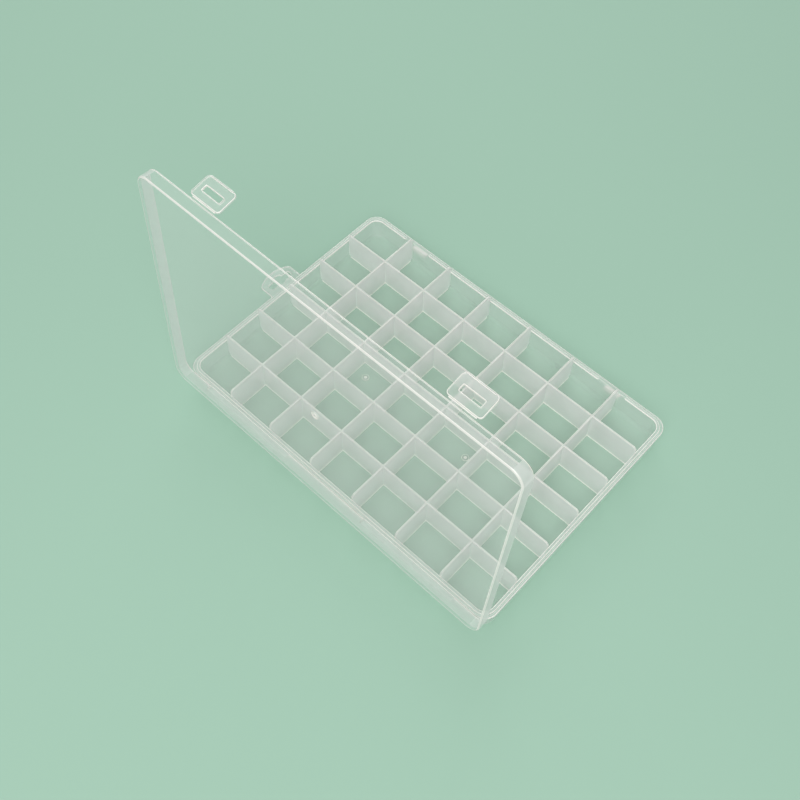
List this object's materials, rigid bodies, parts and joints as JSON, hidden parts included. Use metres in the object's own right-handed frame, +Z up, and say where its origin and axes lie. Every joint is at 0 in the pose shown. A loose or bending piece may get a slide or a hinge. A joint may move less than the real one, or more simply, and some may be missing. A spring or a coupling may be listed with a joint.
{
  "type": "compartment box",
  "caption": "Shallow translucent bead box with a grid of fixed compartments, one living-hinge lid standing open, window latches on the lid and a hang tab.",
  "frame": {"origin": "middle of the tray's flat underside, on the table, midway between its long and its short walls", "axes": "+X along the long side towards the hang tab, +Y from the latch side to the hinge side, +Z up"},
  "size_m": [0.2045, 0.1424, 0.1522],
  "materials": {
    "frosted_polypropylene": "natural translucent polypropylene, faintly frosted, satin gloss"
  },
  "bodies": {
    "tray": {"tray_floor": "frosted_polypropylene", "front_wall": "frosted_polypropylene", "rear_wall": "frosted_polypropylene", "left_wall": "frosted_polypropylene", "right_wall": "frosted_polypropylene", "corner_walls": "frosted_polypropylene", "hang_tab": "frosted_polypropylene", "catch_left": "frosted_polypropylene", "catch_right": "frosted_polypropylene", "long_divider_1": "frosted_polypropylene", "long_divider_2": "frosted_polypropylene", "long_divider_3": "frosted_polypropylene", "long_divider_4": "frosted_polypropylene", "long_divider_5": "frosted_polypropylene", "cross_divider_1": "frosted_polypropylene", "cross_divider_2": "frosted_polypropylene", "cross_divider_3": "frosted_polypropylene", "cross_divider_4": "frosted_polypropylene", "cross_divider_5": "frosted_polypropylene", "cross_divider_6": "frosted_polypropylene"},
    "lid": {"lid_panel": "frosted_polypropylene", "lid_front_skirt": "frosted_polypropylene", "lid_rear_skirt": "frosted_polypropylene", "lid_left_skirt": "frosted_polypropylene", "lid_right_skirt": "frosted_polypropylene", "lid_corner_skirts": "frosted_polypropylene", "hinge_film_left": "frosted_polypropylene", "hinge_film_right": "frosted_polypropylene"},
    "latch_left": {"latch_left": "frosted_polypropylene"},
    "latch_right": {"latch_right": "frosted_polypropylene"}
  },
  "joints": [
    {"name": "lid_hinge", "type": "hinge", "parent": "tray", "child": "lid", "pos_m": [0, 0.0677, 0.0132], "axis": [-1, 0, 0], "range_deg": [-86, 94]},
    {"name": "latch_left_hinge", "type": "hinge", "parent": "lid", "child": "latch_left", "pos_m": [-0.064, 0.0585, 0.14839], "axis": [-1, 0, 0], "range_deg": [-15, 105]},
    {"name": "latch_right_hinge", "type": "hinge", "parent": "lid", "child": "latch_right", "pos_m": [0.064, 0.0585, 0.14839], "axis": [-1, 0, 0], "range_deg": [-15, 105]}
  ]
}
